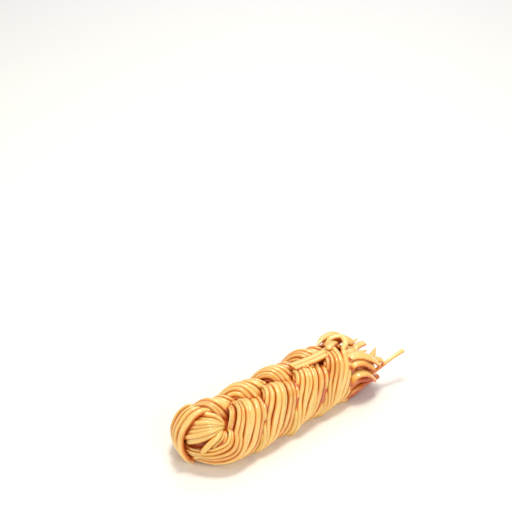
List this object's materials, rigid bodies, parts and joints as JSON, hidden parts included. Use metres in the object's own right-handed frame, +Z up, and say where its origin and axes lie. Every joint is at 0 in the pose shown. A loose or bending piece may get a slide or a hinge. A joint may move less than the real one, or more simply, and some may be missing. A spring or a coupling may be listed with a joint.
{
  "type": "braided string cheese",
  "caption": "Plaited skein of smoked string cheese: a rounded knot at one end, a three-bundle plait, a frayed cut end, and one loose strip on top.",
  "frame": {"origin": "middle of the underside of the bounding box, on the surface the cheese lies on", "axes": "+X runs from the knotted head to the frayed tail, +Y across, +Z up"},
  "size_m": [0.1594, 0.0492, 0.0326],
  "materials": {
    "cheese": "pulled and smoked cheese, slightly oily, cream on the crests and orange in the grooves"
  },
  "bodies": {
    "root": {"plait": "cheese", "loose_strip": "cheese"}
  },
  "joints": []
}
